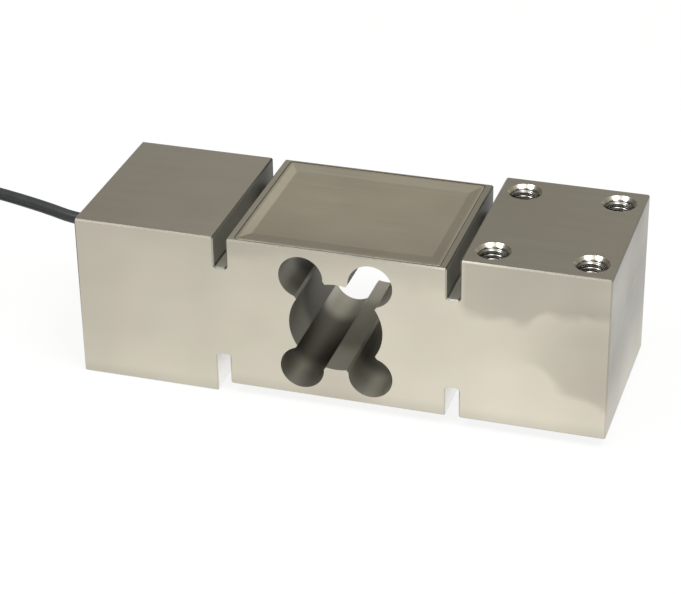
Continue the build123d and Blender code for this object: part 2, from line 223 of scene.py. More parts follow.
# Saw slots: rougher in the upper pair, with painted shade that deepens towards the back; the lower
# pair is painted nearly white, painted light
upper_slot_color = (0.67, 0.665, 0.615)
lower_slot_painted_light = (0.97, 0.97, 0.96)
slotted = steel.both(
    steel.maths("COMPARE", out_x, slot_middle_x, slot_reach),
    steel.maths("GREATER_THAN", out_z, slot_start_z), not_side,
)
slot_above = steel.both(slotted, steel.maths("GREATER_THAN", up, 0.0))
slot_below = steel.maths("SUBTRACT", slotted, slot_above)
slot_front_painted_shade = steel.ramp(x, -0.03, 0.03, 0.80, 0.72)
slot_painted_shade = steel.ramp(y, 0.006, 0.021, slot_front_painted_shade, 0.16)

# Broken edges: flat bevels at 45 degrees, found where no part of the normal is near 1
flatness = 0.0
for part in (nx, ny, nz):
    fourth_power = steel.maths("POWER", steel.maths("ABSOLUTE", part), 4.0)
    flatness = steel.maths("ADD", fourth_power, flatness)
bevel = steel.ramp(flatness, 0.95, 0.6)
# Painted shade: bevels that face up are darkened to dim their highlights, most at the left.
top_edge_painted_shade = steel.ramp(x, 0.013, 0.040, 0.27, 0.60)
bevel_painted_shade = steel.ramp(nz, 0.2, 0.5, 0.97, top_edge_painted_shade)

# Side faces: painted reflection, brighter to the right and lower down, with darker painted patches
# where the room's reflection falls, whose edges blur and wander. They are also darker in a band under
# the middle block's top, at the middle of the foot, near the underside and at the right end
shade_edge_blur = 0.0019
low_shade_x, low_shade_z = 0.071, 0.024
middle_block_end_x = 0.031
wander = steel.maths("MULTIPLY_ADD", steel.noise(105.0, detail=1.5), 0.010, -0.005)


def above_line(line):
    """A mask of what lies above a line on the side faces, whose blurred edge wanders."""
    over_line = steel.maths("ADD", steel.maths("SUBTRACT", z, line), wander)
    return steel.ramp(over_line, -shade_edge_blur, shade_edge_blur)


# Painted reflection and shade of the side faces, built up from here
side_painted_light = steel.maths("MULTIPLY_ADD", x, 1.6, 0.822)
side_painted_light = steel.maths("MULTIPLY_ADD", up, -3.0, side_painted_light)
high_shade_line = steel.ramp(x, 0.052, 0.059, 0.0355, 0.0395)
high_painted_shade = steel.both(above_line(high_shade_line), steel.ramp(x, 0.0335, 0.0365))
low_shade_line = steel.maths("MULTIPLY_ADD", x, -0.45, 0.0462)
from_low_shade = steel.squares(
    steel.maths("SUBTRACT", x, low_shade_x), steel.maths("SUBTRACT", z, low_shade_z)
)
low_painted_shade = steel.both(steel.ramp(from_low_shade, 0.024, 0.007), above_line(low_shade_line))
rim_band = steel.both(
    steel.ramp(steel.maths("ADD", z, wander), 0.0400, 0.0475),
    steel.maths("LESS_THAN", out_x, middle_block_end_x),
)
foot_patch = steel.ramp(steel.squares(x, steel.maths("SUBTRACT", z, 0.002)), 0.018, 0.004)
for darker_mask, darker in ((high_painted_shade, 0.20), (low_painted_shade, 0.22), (rim_band, 0.09), (foot_patch, 0.10)):
    side_painted_light = steel.maths("MULTIPLY_ADD", darker_mask, -darker, side_painted_light)
underside = steel.both(steel.maths("GREATER_THAN", x, -slot_middle_x), pad_height)
foot_line = steel.ramp(steel.maths("SUBTRACT", z, underside), 0.0, 0.0045, 0.87, 1.0)
side_painted_light = steel.both(side_painted_light, foot_line, steel.ramp(x, 0.060, 0.074, 1.0, 0.91))

# Painted reflection: tops grow darker to the right, and ends grow darker upwards but for one paler
# band
pale_band_z = 0.0425
top_painted_shade = steel.ramp(x, -0.03, 0.03, 0.82, 0.62)
end_painted_shade = steel.ramp(z, 0.004, 0.026, 0.68, 0.38)
from_band = steel.maths("ABSOLUTE", steel.maths("SUBTRACT", z, pale_band_z))
end_painted_shade = steel.maths("ADD", end_painted_shade, steel.ramp(from_band, 0.0080, 0.0, 0.0, 0.05))
end_painted_shade = steel.maths("ADD", end_painted_shade, steel.ramp(z, 0.046, 0.052, 0.0, -0.06))
face_painted_light = steel.mix(steel.faces_up, steel.mix(steel.faces_side, end_painted_shade, side_painted_light), top_painted_shade)

# All regions together: each paints its own light and shade on the steel and leaves the rest alone,
# under random clouds and grain
marks = steel.mix(bored, steel.grain, bore_marks)
open_face = steel.both(steel.outside(bored), steel.outside(turned))
grain_and_painted_light = steel.both(
    steel.ramp(steel.clouds, 0.3, 0.7, 0.95, 1.03), steel.ramp(marks, 0.2, 0.8, 0.985, 1.01)
)
for region, region_painted_light in (
    (steel.both(open_face, steel.outside(slotted)), face_painted_light),
    (steel.both(open_face, bevel), bevel_painted_shade),
    (bored, bored_painted_shade), (bored, right_wall_painted_light), (slot_above, slot_painted_shade), (turned, turned_painted_shade),
):
    grain_and_painted_light = steel.both(grain_and_painted_light, steel.mix(region, 1.0, region_painted_light))
color = steel.tones(slot_above, steel.color, upper_slot_color)
color = steel.tones(slot_below, color, lower_slot_painted_light)
color = steel.tones(bored, color, bored_color)
warm_areas = steel.ramp(steel.noise(75.0, shift=(0.2, 0.0, 0.6), detail=1.0), 0.35, 0.65)
tint = steel.tones(warm_areas, (1.005, 0.99, 0.985), (0.995, 1.0, 0.972))
color = steel.add("VectorMath", {0: color, 1: tint}, operation="MULTIPLY")
rough = steel.ramp(steel.clouds, 0.3, 0.7, 0.36, 0.30)
rough = steel.maths("ADD", rough, steel.ramp(marks, 0.2, 0.8, -0.03, 0.03))
rough = steel.mix(turned, rough, 0.24)
rough = steel.mix(steel.maths("MAXIMUM", bored, slot_above), rough, 0.5)
steel.wire(
    Base_Color=steel.scaled(color, grain_and_painted_light),
    Roughness=rough,
    Normal=steel.bump(marks, 0.000004, steel.outside(turned)),
)
steel.put_on(nodes["beam_body"])


# Threads: right-hand M8 threads cut in all eight screw holes, four up and four down.
# Each is a closed lining of its hole, and its first turn runs out in the countersink's cone.

thread_pitch = 0.00125
thread_root = 0.00398
thread_height = 0.00064
thread_mouth = 0.0008
thread_phase = 0.3
thread_end = 0.0188


def grid_faces(rows, columns, round_rows=False, round_columns=True):
    """The four-cornered faces between the points of a grid, taken row by row.

    A grid that is round one way also has the faces between its last points and its first.
    """
    row, column = np.meshgrid(
        np.arange(rows if round_rows else rows - 1),
        np.arange(columns if round_columns else columns - 1), indexing="ij",
    )
    next_row, next_column = (row + 1) % rows, (column + 1) % columns
    return np.stack([
        row * columns + column, row * columns + next_column,
        next_row * columns + next_column, next_row * columns + column,
    ], -1).reshape(-1, 4)


def shown(name, data):
    """A new object in the scene for a mesh, a curve, a camera or a lamp."""
    thing = bpy.data.objects.new(name, data)
    bpy.context.scene.collection.objects.link(thing)
    return thing


def solid_piece(name, shells, crease=None):
    """A closed mesh piece made of shells, each its points and a list of its arrays of faces.

    Doubled points are merged, empty faces dropped and all faces turned out. Edges that turn by
    more than the crease's degrees are kept sharp in the shading.
    """
    faces, count = [], 0
    for shell_points, shell_faces in shells:
        for face_array in shell_faces:
            faces += (face_array + count).tolist()
        count += len(shell_points)
    mesh = bpy.data.meshes.new(name)
    mesh.from_pydata(np.concatenate([shell_points for shell_points, _ in shells]), [], faces)
    shape = bmesh.new()
    shape.from_mesh(mesh)
    bmesh.ops.remove_doubles(shape, verts=shape.verts, dist=1e-7)
    bmesh.ops.dissolve_degenerate(shape, edges=shape.edges, dist=1e-8)
    bmesh.ops.recalc_face_normals(shape, faces=shape.faces)
    shape.to_mesh(mesh)
    shape.free()
    mesh.shade_smooth()
    if crease is not None:
        mesh.set_sharp_from_angle(angle=math.radians(crease))
    return shown(name, mesh)


def thread_lining(sides=44, steps=12):
    """Points and faces of one thread about the Z axis, its mouth at height 0 and its depth down.

    The depth is the mouth's plus the pitch times (row / steps - side / sides - 1). The radius
    is the crest's plus the thread's height times a cosine's rounded groove, and never less
    than the countersink's cone. The phase turns the whole thread, as a share of one turn.
    The outside is a plain wall just inside the hole.
    """
    rows = int((thread_end - thread_mouth) / thread_pitch + 4) * steps
    side, row = np.meshgrid(np.arange(sides), np.arange(rows), indexing="ij")
    depth = thread_mouth + thread_pitch * (row / steps - side / sides - 1)
    groove = 0.5 + 0.5 * np.cos(2 * np.pi * (row / steps + thread_phase))
    radius = np.maximum(thread_root - thread_height * (1 - groove), sink_radius - depth)
    outside = (depth <= thread_mouth) | (depth >= thread_end)
    radius = np.where(outside, thread_root, np.minimum(radius, thread_root))
    height = -np.clip(depth, thread_mouth, thread_end)
    angle = 2 * np.pi * side / sides
    points = np.stack([radius * np.cos(angle), radius * np.sin(angle), height], -1).reshape(-1, 3)
    here = (side * rows + row)[:, :-1]
    beside = np.where(side < sides - 1, (side + 1) * rows + row, row - steps)[:, :-1]
    kept = ((row >= steps) | (side < sides - 1))[:, :-1].ravel()
    faces = np.stack([here, here + 1, beside + 1, beside], -1).reshape(-1, 4)[kept]
    turn, level = np.meshgrid(angle[:, 0], (thread_mouth, thread_end))
    wall = np.stack([thread_root * np.cos(turn), thread_root * np.sin(turn), -level], -1)
    return np.concatenate([points, wall.reshape(-1, 3)]), [faces, len(points) + grid_faces(2, sides)]


lining_points, lining_faces = thread_lining()
linings = []
for end in (1, -1):
    for i in (-1, 1):
        for j in (-1, 1):
            turned_over = np.array([1, end, end])
            mouth = np.array([
                end * hole_center_x + i * hole_offset_x, j * hole_offset_y,
                beam_middle_z * (1 + end),
            ])
            linings.append((lining_points * turned_over + mouth, lining_faces))
threads = solid_piece("screw_threads", linings, crease=50.0)
# The cut steel is painted dark as shade in the holes, and darker still where it faces +X.
thread_finish = Finish("cut_thread_steel", Metallic=1.0)
cutter_lines = thread_finish.noise(1.0, (300.0, 300.0, 5200.0))
lean_x = thread_finish.split(thread_finish.normal)[0]
cut_painted_shade = thread_finish.tones(cutter_lines, (0.36, 0.35, 0.33), (0.44, 0.43, 0.41))
thread_finish.wire(
    Base_Color=thread_finish.scaled(cut_painted_shade, thread_finish.ramp(lean_x, -0.1, 0.6, 1.0, 0.4)),
    Roughness=thread_finish.ramp(cutter_lines, 0.2, 0.8, 0.12, 0.18),
)
thread_finish.put_on(threads)
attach(threads, "root")


# Covers: thin stainless sheets pressed into a shallow dish, one over each gauge pocket.
# The flat flange all round lies on the pocket's ledge and is bonded there.

cover_half_x = 0.02865
cover_half_y = 0.0245
cover_corner = 0.00075
cover_flange = 0.0005
cover_slope_x = 0.003
cover_slope_y = 0.0046
cover_dish = 0.0004
cover_sag = 0.00004
cover_top = 0.04835
sheet_thickness = 0.0004
cover_color = (0.62, 0.585, 0.49)


def eased(t, bend=0.13):
    """A straight slope from 0 to 1 with a short parabola at each end, bend wide."""
    t = np.clip(t, 0.0, 1.0)
    foot = t ** 2 / (2 * bend)
    head = 1 - bend - (1 - t) ** 2 / (2 * bend)
    middle = t - bend / 2
    return np.where(t < bend, foot, np.where(t > 1 - bend, head, middle)) / (1 - bend)


def grid_lines(half, inner_count):
    """Places of the grid's lines across a cover: close together near the edges, where it bends."""
    edge = np.concatenate([np.linspace(0, 0.0012, 13), np.linspace(0.0014, 0.0062, 25)])
    inner = np.linspace(-half + edge[-1], half - edge[-1], inner_count)[1:-1]
    return np.concatenate([edge - half, inner, (half - edge)[::-1]])


def dished_sheet(name, side):
    """The upper skin of one cover as a grid over X and Y, thickened by a Solidify modifier.

    The height falls from the flange by the dish's depth times the eased share of the slope that
    a point has passed, counted from the nearer pair of sides. Points in a corner's square are
    drawn in to its quarter circle by the larger of their two shares over their length.
    """
    xs, ys = grid_lines(cover_half_x, 34), grid_lines(cover_half_y, 30)
    x, y = np.meshgrid(xs, ys, indexing="ij")
    from_x = cover_half_x - np.abs(x) - cover_flange
    from_y = cover_half_y - np.abs(y) - cover_flange
    share = np.minimum(from_x / cover_slope_x, from_y / cover_slope_y)
    sag = cover_sag * np.cos(np.pi * x / (2 * cover_half_x)) * np.cos(np.pi * y / (2 * cover_half_y))
    z = cover_top - (cover_dish + sag) * eased(share)
    corner_x = (np.abs(x) - cover_half_x + cover_corner) / cover_corner
    corner_y = (np.abs(y) - cover_half_y + cover_corner) / cover_corner
    inside = (corner_x > 0) & (corner_y > 0)
    reach = np.maximum(corner_x, corner_y) / np.maximum(np.hypot(corner_x, corner_y), 1e-9)
    pull_x = np.where(inside, cover_half_x - cover_corner * (1 - corner_x * reach), np.abs(x))
    pull_y = np.where(inside, cover_half_y - cover_corner * (1 - corner_y * reach), np.abs(y))
    x, y = np.sign(x) * pull_x, np.sign(y) * pull_y
    points = np.stack([x, side * y, beam_middle_z + side * (z - beam_middle_z)], -1).reshape(-1, 3)
    facing_out = grid_faces(len(xs), len(ys), round_columns=False)[:, [0, 3, 2, 1]]
    mesh = bpy.data.meshes.new(name)
    mesh.from_pydata(points, [], facing_out.tolist())
    mesh.shade_smooth()
    cover = shown(name, mesh)
    wall = cover.modifiers.new("sheet", "SOLIDIFY")
    wall.thickness = sheet_thickness
    wall.offset = -1.0
    edge_round = cover.modifiers.new("rolled_edge", "BEVEL")
    edge_round.width = 0.00006
    edge_round.segments = 2
    edge_round.limit_method = "ANGLE"
    edge_round.angle_limit = math.radians(60)
    return cover


pressed = ground_steel("pressed_cover_steel", cover_color, cover_color, cover_color)
dents = pressed.noise(85.0, shift=(0.4, 0.1, 0.0), detail=1.0)
lean_x, lean_y = pressed.split(pressed.normal)[:2]
pressed_x, pressed_y = pressed.split(pressed.place)[:2]
# Clouds and grain, then painted light and shade: darker to the front and to the right, the left slope
# lighter and the front and back slopes darker.
cover_grain_and_painted_light = pressed.both(
    pressed.ramp(pressed.clouds, 0.3, 0.7, 0.95, 1.04),
    pressed.ramp(pressed.grain, 0.2, 0.8, 0.97, 1.03),
    pressed.ramp(pressed_y, -0.022, -0.006, 0.89, 1.0),
    pressed.ramp(pressed_x, 0.006, 0.026, 1.0, 0.93),
    pressed.ramp(lean_x, 0.03, 0.12, 1.0, 1.12),
    pressed.ramp(lean_y, 0.02, 0.08, 1.0, 0.85),
    pressed.ramp(lean_y, -0.08, -0.02, 0.93, 1.0),
)
pressed.wire(
    Base_Color=pressed.scaled(pressed.color, cover_grain_and_painted_light),
    Roughness=pressed.ramp(pressed.grain, 0.2, 0.8, 0.30, 0.36),
    Normal=pressed.bump(pressed.grain, 0.000005, after=pressed.bump(dents, 0.00004)),
)
for side, word in ((1, "top"), (-1, "bottom")):
    cover = dished_sheet("pressed_cover_" + word, side)
    pressed.put_on(cover)
    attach(cover, "root")
    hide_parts(word + "_cover")


# Strain gauges: an etched metal foil grid on an amber film, bonded over each of the four webs.
# The foil stands a few hundredths of a millimetre above the film, which tells the two apart.

film_top = 0.0471
foil_margin = 0.000006
gauge = Finish("gauge_film_and_foil", IOR=1.6)
gauge_z = gauge.split(gauge.place)[2]
from_middle = gauge.maths("ABSOLUTE", gauge.maths("SUBTRACT", gauge_z, beam_middle_z))
above_film = gauge.maths("GREATER_THAN", from_middle, film_top - beam_middle_z + foil_margin)
film = gauge.tones(gauge.noise(900.0), (0.56, 0.27, 0.06), (0.66, 0.36, 0.10))
foil = gauge.tones(gauge.noise(2500.0), (0.60, 0.56, 0.50), (0.74, 0.70, 0.64))
gauge.wire(
    Base_Color=gauge.tones(above_film, film, foil),
    Metallic=above_film,
    Roughness=gauge.ramp(gauge.noise(1500.0), 0.3, 0.7, 0.28, 0.42),
)
for corner in ("top_left", "top_right", "bottom_left", "bottom_right"):
    gauge.put_on(nodes["strain_gauge_" + corner])


# Terminal boards: green glass-fibre boards that stand in the wells beside the gauges.
# Woven glass shows faintly through the green varnish.

board = Finish("varnished_board", Roughness=0.32, Coat_Weight=0.4, Coat_Roughness=0.15)
warp, weft = [
    board.add("TexWave", {"Vector": board.place, "Scale": 420.0, "Distortion": 0.4},
              bands_direction=direction)
    for direction in ("X", "Y")
]
cloth = board.maths("MULTIPLY", warp, weft)
board.wire(
    Base_Color=board.tones(cloth, (0.018, 0.13, 0.055), (0.035, 0.21, 0.09)),
    Normal=board.bump(cloth, 0.00001),
)
board.put_on(nodes["terminal_board_top"], nodes["terminal_board_bottom"])


# Solder posts: tinned blocks on the boards that take the wires' ends.
# Hand-laid solder is bright, with a slightly rippled skin.

solder = Finish("hand_laid_solder", Metallic=1.0)
solder.mottle(
    solder.noise(1800.0, detail=3.0), colors=((0.60, 0.60, 0.61), (0.80, 0.80, 0.79)),
    roughness=(0.20, 0.40), depth=0.00005,
)
solder.put_on(nodes["solder_posts_top"], nodes["solder_posts_bottom"])


# Trimming resistors: two ceramic chips with tinned end caps, soldered across the upper board.
# The body is dark glaze, and the caps cover the outer half millimetre at each end.

resistor_middle_y = 0.012
cap_start = 0.00112
resistor = Finish("glazed_resistor", IOR=1.5)
resistor_y = resistor.split(resistor.place)[1]
from_middle = resistor.maths("SUBTRACT", resistor.maths("ABSOLUTE", resistor_y), resistor_middle_y)
cap = resistor.maths("GREATER_THAN", resistor.maths("ABSOLUTE", from_middle), cap_start)
speck = resistor.noise(2600.0, detail=3.0)
glaze = resistor.tones(speck, (0.012, 0.012, 0.014), (0.03, 0.03, 0.034))
cap_tin = resistor.tones(speck, (0.58, 0.58, 0.58), (0.76, 0.76, 0.75))
resistor.wire(
    Base_Color=resistor.tones(cap, glaze, cap_tin),
    Metallic=cap,
    Roughness=resistor.ramp(speck, 0.3, 0.7, 0.22, 0.38),
)
resistor.put_on(nodes["span_resistor"], nodes["zero_balance_resistor"])


# Gauge leads and bridge wires: enamelled copper from the gauges, and thin insulated wires
# that pass down through the beam from one board to the other.

enamel = Finish("enamelled_copper_wire", Coat_Weight=0.6, Coat_Roughness=0.12, Metallic=1.0)
enamel.mottle(
    enamel.noise(700.0, detail=3.0), colors=((0.48, 0.17, 0.07), (0.66, 0.28, 0.12)),
    roughness=(0.22, 0.34),
)
enamel.put_on(nodes["gauge_leads_top"], nodes["gauge_leads_bottom"])


def insulated(name, dark, light, roughness=0.38):
    """The extruded plastic of a wire: nearly even colour, with a faint mottle and fine pores."""
    finish = Finish(name, IOR=1.5, Sheen_Weight=0.08)
    finish.mottle(
        finish.noise(650.0, detail=3.0), colors=(dark, light),
        roughness=(roughness - 0.05, roughness + 0.06), depth=0.000012,
        relief=finish.noise(2600.0),
    )
    return finish


bridge_plastic = insulated("bridge_wire_plastic", (0.62, 0.56, 0.22), (0.74, 0.68, 0.30))
bridge_plastic.put_on(nodes["bridge_wires"])


# Cable cores: four insulated conductors, red, black, green and white.
# They run from the jacket's end in the entry to the upper board, and show again at the free end.

core_tones = {
    "red": ((0.50, 0.018, 0.014), (0.60, 0.03, 0.022)),
    "black": ((0.014, 0.014, 0.016), (0.024, 0.024, 0.027)),
    "green": ((0.016, 0.22, 0.07), (0.03, 0.29, 0.10)),
    "white": ((0.74, 0.74, 0.72), (0.82, 0.82, 0.80)),
}
for color, (dark, light) in core_tones.items():
    insulated("core_plastic_" + color, dark, light, 0.33).put_on(
        nodes["cable_core_" + color], nodes["end_lead_" + color]
    )


# Cable bush and resin: a turned steel bush pressed into the end face, with a collar outside,
# and cast black resin that seals the entry behind it.

bush_axis_z = 0.0338
turning_waves = 52000.0
bush = Finish("turned_bush_steel", Metallic=1.0)
bush_x, bush_y, bush_z = bush.split(bush.place)
from_axis = bush.squares(bush_y, bush.maths("SUBTRACT", bush_z, bush_axis_z))
groove = bush.maths("MULTIPLY", bush.maths("ADD", from_axis, bush_x), turning_waves)
groove = bush.ramp(bush.maths("SINE", groove), -1.0, 1.0)
bush.wire(
    Base_Color=bush.tones(groove, (0.66, 0.65, 0.62), (0.74, 0.73, 0.70)),
    Roughness=bush.ramp(bush.noise(500.0), 0.3, 0.7, 0.22, 0.32),
    Normal=bush.bump(groove, 0.000002),
)
bush.put_on(nodes["cable_bush"])

resin = Finish("cast_black_resin", IOR=1.54, Coat_Weight=0.5, Coat_Roughness=0.08)
resin.mottle(
    resin.noise(420.0), colors=((0.016, 0.016, 0.018), (0.030, 0.030, 0.033)),
    roughness=(0.22, 0.35), depth=0.00004,
)
resin.put_on(nodes["entry_potting"])


# Strain relief: a moulded rubber boot, plugged into the bush, that tapers down onto the cable.
# Two shallow grooves let it flex, and its edges are rounded as they leave the mould.

boot_face_x = -0.0762

# Distance out and radius in millimetres, from inside the bush to the boot's outer end
boot_outline = [
    (-4.0, 1.85), (-4.0, 2.8), (-3.8, 3.0), (0.0, 3.0), (0.0, 3.35), (0.08, 3.52), (0.3, 3.6),
    (1.3, 3.6), (1.55, 3.55), (1.65, 3.2), (1.9, 3.2), (2.0, 3.45), (2.25, 3.45), (2.9, 3.25),
    (3.1, 3.2), (3.2, 2.85), (3.45, 2.85), (3.55, 3.08), (3.8, 3.08), (5.7, 2.66), (6.0, 2.58),
    (6.2, 2.45), (6.3, 2.25), (6.3, 1.85),
]


def revolved(outline, start_x, sides):
    """A closed ring turned about the cable entry's axis, from a closed outline in millimetres.

    The outline is distance out along -X and radius; each of its points goes round a circle.
    """
    out, radius = np.array(outline).T[:, :, None] / 1000
    turn = 2 * np.pi * np.arange(sides)[None, :] / sides
    points = np.stack([
        np.broadcast_to(start_x - out, (len(out), sides)),
        radius * np.cos(turn), bush_axis_z + radius * np.sin(turn),
    ], -1)
    return points.reshape(-1, 3), [grid_faces(len(out), sides, round_rows=True)]


boot = solid_piece("rubber_boot", [revolved(boot_outline, boot_face_x, 72)], crease=50.0)
rubber = Finish("moulded_black_rubber", IOR=1.5, Sheen_Weight=0.15)
rubber.mottle(
    rubber.noise(1400.0, detail=4.0), colors=((0.020, 0.021, 0.023), (0.036, 0.037, 0.040)),
    roughness=(0.55, 0.72), depth=0.00002,
)
rubber.put_on(boot)
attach(boot, "root")
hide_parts("cable_boot")


# Signal cable: two metres of thin shielded cable in a soft black jacket.
# It leaves through the boot, bends down to the table and is wound in four layers of turns.

cable_diameter = 0.0036
coil_center = np.array([-0.146, -0.016])
cable_route = np.array([
    (-0.0780, 0.0000, 0.0338), (-0.0865, 0.0001, 0.0340), (-0.0970, 0.0034, 0.0346),
    (-0.1180, 0.0095, 0.0344), (-0.1470, 0.0180, 0.0320), (-0.1665, 0.0110, 0.0275),
    (-0.1785, -0.0065, 0.0205), (-0.1780, -0.0275, 0.0125), (-0.1655, -0.0440, 0.0056),
    (-0.1505, -0.0483, 0.0019), (-0.1385, -0.0458, 0.00185),
])

# Angle in degrees, radius and height in millimetres where each layer of the coil starts or ends
coil_stations = np.array([
    (284, 30.7, 1.85), (302, 28.4, 2.0), (320, 26.5, 2.4),
    (1540, 14.3, 2.4), (1620, 14.3, 6.0), (2840, 26.5, 6.0), (2885, 26.5, 9.6),
    (4105, 14.3, 9.6), (4185, 14.3, 13.2), (5364, 26.1, 13.2),
    (5422, 25.6, 17.2), (5465, 20.5, 17.3), (5518, 20.5, 17.3),
])
coil_start = 299.0
coil_step = 15.0


def round_coil(degrees, radius, height):
    """Points by their angle about the coil's axis, their radius from it and their height."""
    turn = np.radians(degrees)
    return np.stack(np.broadcast_arrays(
        coil_center[0] + radius * np.cos(turn), coil_center[1] + radius * np.sin(turn), height
    ), -1)


# The curve runs through the middles of the legs between its points, so the points stand out
# from the turns' radius by the cosine of half a step
coil_angle = np.append(np.arange(coil_start, 5510.0, coil_step), coil_stations[-1, 0])
coil_radius = np.interp(coil_angle, coil_stations[:, 0], coil_stations[:, 1]) / 1000
coil_radius = coil_radius / math.cos(math.radians(coil_step / 2))
coil_height = np.interp(coil_angle, coil_stations[:, 0], coil_stations[:, 2]) / 1000
cable_points = np.concatenate([cable_route, round_coil(coil_angle, coil_radius, coil_height)])

cable_curve = bpy.data.curves.new("jacketed_cable", "CURVE")
cable_curve.dimensions = "3D"
spline = cable_curve.splines.new("NURBS")
spline.points.add(len(cable_points) - 1)
spline.points.foreach_set(
    "co", np.concatenate([cable_points, np.ones((len(cable_points), 1))], 1).ravel()
)
spline.order_u = 3
spline.use_endpoint_u = True
spline.resolution_u = 5
cable_curve.bevel_depth = cable_diameter / 2
cable_curve.bevel_resolution = 5
cable_curve.use_fill_caps = True
cable = shown("jacketed_cable", cable_curve)

jacket = Finish("soft_black_jacket", IOR=1.5, Sheen_Weight=0.05)
jacket.mottle(
    jacket.noise(240.0, detail=3.0), colors=((0.019, 0.021, 0.023), (0.030, 0.033, 0.036)),
    roughness=(0.40, 0.52), depth=0.000010, relief=jacket.noise(3200.0),
)
jacket.put_on(cable)
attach(cable, "root")
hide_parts("signal_cable", "cable_coil", "cable_tail")

# The jacket's hidden end in the entry, with room for the cores through its middle
jacket_end_x = -0.066
stub_outline = [(0.0, 0.9), (0.0, 1.6), (0.1, 1.75), (11.5, 1.75), (11.6, 1.6), (11.6, 0.9)]
stub = solid_piece("jacket_in_entry", [revolved(stub_outline, jacket_end_x, 36)], crease=35.0)
jacket.put_on(stub)
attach(stub, "root")


# Coil tie: a nylon band drawn tight round the turns, with its small lock on top.
# The band goes under the coil, through the hole in its middle and back to the lock.

tie_angle = math.radians(320.0)
tie_inner = 0.0124
tie_outer = 0.02862
tie_top = 0.0151
tie_thickness = 0.0006
tie_half_width = 0.0015
tie_corner = 0.0011
lock_length = 0.0032
lock_half_width = 0.0021
lock_height = 0.0013

# The band's section: places across, as shares of half its width, and through its thickness
tie_section = np.array([
    (-0.86, 0.0), (-0.3, 0.0), (0.3, 0.0), (0.86, 0.0), (1.0, 0.2), (1.0, 0.8),
    (0.86, 1.0), (0.3, 1.0), (-0.3, 1.0), (-0.86, 1.0), (-1.0, 0.8), (-1.0, 0.2),
])


def about_coil(points):
    """Points drawn at the coil's +X side carried round to the tie, then to the coil's place."""
    c, s = math.cos(tie_angle), math.sin(tie_angle)
    turned_points = points @ np.array([(c, s, 0.0), (-s, c, 0.0), (0.0, 0.0, 1.0)])
    return turned_points + np.array([coil_center[0], coil_center[1], 0.0])


def band_round(low, high, corner, count=9):
    """A rounded rectangle in X and Z between two corners, as points in order round it."""
    turn = np.linspace(0, np.pi / 2, count)
    arcs = []
    for quarter, (sx, sz) in enumerate(((1, 1), (-1, 1), (-1, -1), (1, -1))):
        angle = turn + quarter * np.pi / 2
        cx = (high[0] - corner) if sx > 0 else (low[0] + corner)
        cz = (high[1] - corner) if sz > 0 else (low[1] + corner)
        arcs.append(np.stack([cx + corner * np.cos(angle), cz + corner * np.sin(angle)], -1))
    return np.concatenate(arcs)


def tie_band():
    """The band as a grid: each point of a rounded path round the turns, by each of its section.

    The inner and outer paths are rounded rectangles one band's thickness apart, and the section
    goes along the inner face, round the edge, back along the outer face and round again.
    """
    inner = band_round((tie_inner, tie_thickness), (tie_outer, tie_top), tie_corner)
    outer = band_round(
        (tie_inner - tie_thickness, 0.0), (tie_outer + tie_thickness, tie_top + tie_thickness),
        tie_corner + tie_thickness,
    )
    across, share = tie_section.T
    path = inner[:, None, :] * (1 - share)[None, :, None] + outer[:, None, :] * share[None, :, None]
    points = np.stack([
        path[..., 0], np.broadcast_to(across * tie_half_width, path.shape[:2]), path[..., 1]
    ], -1)
    return about_coil(points.reshape(-1, 3)), [grid_faces(*path.shape[:2], round_rows=True)]


def rounded_block(low, high, power=5.0, rows=28, columns=56):
    """A block with soft edges: a superellipsoid, each sine and cosine raised to 2 / power."""
    low, high = np.array(low), np.array(high)
    rise = np.linspace(-np.pi / 2, np.pi / 2, rows)[:, None]
    turn = (2 * np.pi * np.arange(columns) / columns)[None, :]
    rise_cos, rise_sin, turn_cos, turn_sin = [
        np.sign(wave) * np.abs(wave) ** (2 / power)
        for wave in (np.cos(rise), np.sin(rise), np.cos(turn), np.sin(turn))
    ]
    unit = np.stack([
        rise_cos * turn_cos, rise_cos * turn_sin, np.broadcast_to(rise_sin, (rows, columns))
    ], -1)
    points = (low + high) / 2 + unit * (high - low) / 2
    return about_coil(points.reshape(-1, 3)), [grid_faces(rows, columns)]


tie = solid_piece("nylon_coil_tie", [tie_band(), rounded_block(
    (tie_outer - lock_length, -lock_half_width, tie_top),
    (tie_outer, lock_half_width, tie_top + lock_height),
)])
nylon = Finish("moulded_nylon", IOR=1.53, Subsurface_Weight=0.15, Subsurface_Scale=0.002)
nylon.mottle(
    nylon.noise(500.0), colors=((0.66, 0.655, 0.62), (0.76, 0.755, 0.72)),
    roughness=(0.36, 0.48), depth=0.000012, relief=nylon.noise(1900.0),
)
nylon.put_on(tie)
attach(tie, "root")
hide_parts("coil_tie")


# End sleeve: shrunk black tubing over the last of the jacket, drawn in at both ends.
# The bared leads come out of it, and it lies on the coil.

tail_radius = 0.0205
sleeve_center_z = 0.0173
sleeve_start = 98.0
sleeve_end = 128.0

# Share of the sleeve's length, and its radius there in millimetres
sleeve_outline = np.array([
    (0.0, 1.86), (0.03, 1.98), (0.12, 2.22), (0.3, 2.28),
    (0.52, 2.28), (0.62, 2.2), (0.95, 2.12), (1.0, 1.9),
])


def rings(middle, radius, sideways, upwards, sides):
    """A ring of points about each point of a path, in the plane of two directions there."""
    turn = (2 * np.pi * np.arange(sides) / sides)[None, :, None]
    round_path = radius[..., None] * (sideways * np.cos(turn) + upwards * np.sin(turn))
    return (middle[:, None, :] + round_path).reshape(-1, 3)


def end_fan(middle, first, sides):
    """Triangles from a middle point to the ring whose first point is given."""
    k = np.arange(sides)
    return np.stack([np.full(sides, middle), first + (k + 1) % sides, first + k], -1)


